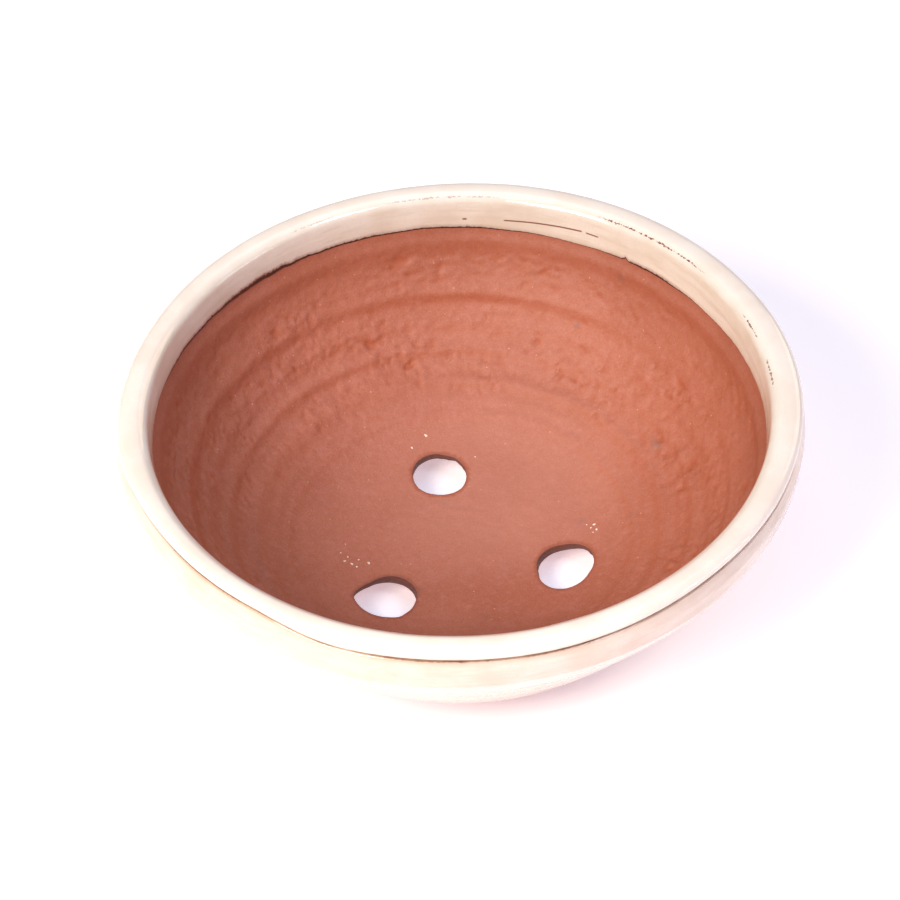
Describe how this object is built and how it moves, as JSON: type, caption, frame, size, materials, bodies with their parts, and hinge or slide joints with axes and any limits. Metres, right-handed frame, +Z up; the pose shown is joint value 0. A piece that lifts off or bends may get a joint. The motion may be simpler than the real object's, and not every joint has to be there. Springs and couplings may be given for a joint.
{
  "type": "bonsai pot",
  "caption": "Round hand-thrown bonsai pot: bare terracotta inside, cream glaze over the lip and outside, drain holes in the floor and lug feet.",
  "frame": {"origin": "on the pot's axis, on the surface that it stands on", "axes": "+Z up along the pot's axis, towards the mouth; +Y points away from the viewer, and one drain hole lies 11.5 degrees past +Y towards -X"},
  "size_m": [0.2026, 0.2026, 0.0726],
  "materials": {
    "bare_clay": "bare fired terracotta, matt, with throwing rings",
    "cream_glaze": "glossy cream glaze that breaks brown over sharp edges",
    "foot_clay": "bare fired terracotta, matt, wiped smooth"
  },
  "bodies": {
    "root": {"clay_bowl": "bare_clay", "rim_glaze": "cream_glaze", "wall_glaze": "cream_glaze", "foot_1": "foot_clay", "foot_2": "foot_clay", "foot_3": "foot_clay"}
  },
  "joints": []
}
